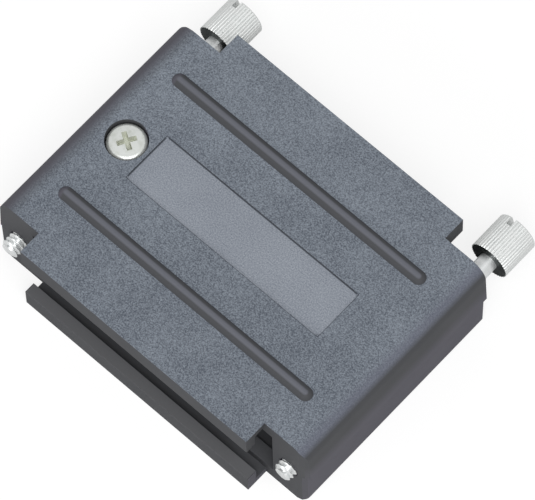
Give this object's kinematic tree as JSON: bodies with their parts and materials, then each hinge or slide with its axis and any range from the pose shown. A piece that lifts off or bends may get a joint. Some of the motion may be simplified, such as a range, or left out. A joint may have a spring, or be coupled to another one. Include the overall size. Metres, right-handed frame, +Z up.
{
  "type": "connector hood",
  "caption": "Flat two-part hood for a D-subminiature connector, open at both long sides, with captive knurled thumbscrews beside the connector mouth.",
  "frame": {"origin": "centre of the lower shell's flat underside, midway between the two thumbscrew axes and between the front and back notch walls", "axes": "+X along the connector's long direction, -Y out of the front mouth that takes the connector flange, +Z up through the closing screw's side"},
  "size_m": [0.0538, 0.0476, 0.0173],
  "materials": {
    "hood_plastic": "matte blue-grey moulded plastic with a fine spark-eroded grain",
    "screw_steel": "bright nickel-plated steel",
    "thumb_nickel": "pale nickel-plated knurled head",
    "spring_steel": "plain spring steel"
  },
  "bodies": {
    "hood": {"upper_shell": "hood_plastic", "lower_shell": "hood_plastic", "closing_screw_top": "screw_steel", "closing_screw_bottom": "screw_steel", "closing_nut_lower": "screw_steel", "closing_nut_upper": "screw_steel"},
    "clip_left": {"retaining_clip_left": "spring_steel"},
    "thumbscrew_left": {"thumbscrew_head_left": "thumb_nickel", "thumbscrew_stud_left": "screw_steel"},
    "clip_right": {"retaining_clip_right": "spring_steel"},
    "thumbscrew_right": {"thumbscrew_head_right": "thumb_nickel", "thumbscrew_stud_right": "screw_steel"}
  },
  "joints": [
    {"name": "thumbscrew_left_slide", "type": "slide", "parent": "hood", "child": "clip_left", "axis": [0, -1, 0], "range_m": [-0.0027, 0.0034]},
    {"name": "thumbscrew_left_turn", "type": "hinge", "parent": "clip_left", "child": "thumbscrew_left", "pos_m": [-0.02352, 0, 0.0083], "axis": [0, -1, 0], "continuous": true},
    {"name": "thumbscrew_right_slide", "type": "slide", "parent": "hood", "child": "clip_right", "axis": [0, -1, 0], "range_m": [-0.002, 0.0041]},
    {"name": "thumbscrew_right_turn", "type": "hinge", "parent": "clip_right", "child": "thumbscrew_right", "pos_m": [0.02352, 0, 0.0083], "axis": [0, -1, 0], "continuous": true}
  ]
}
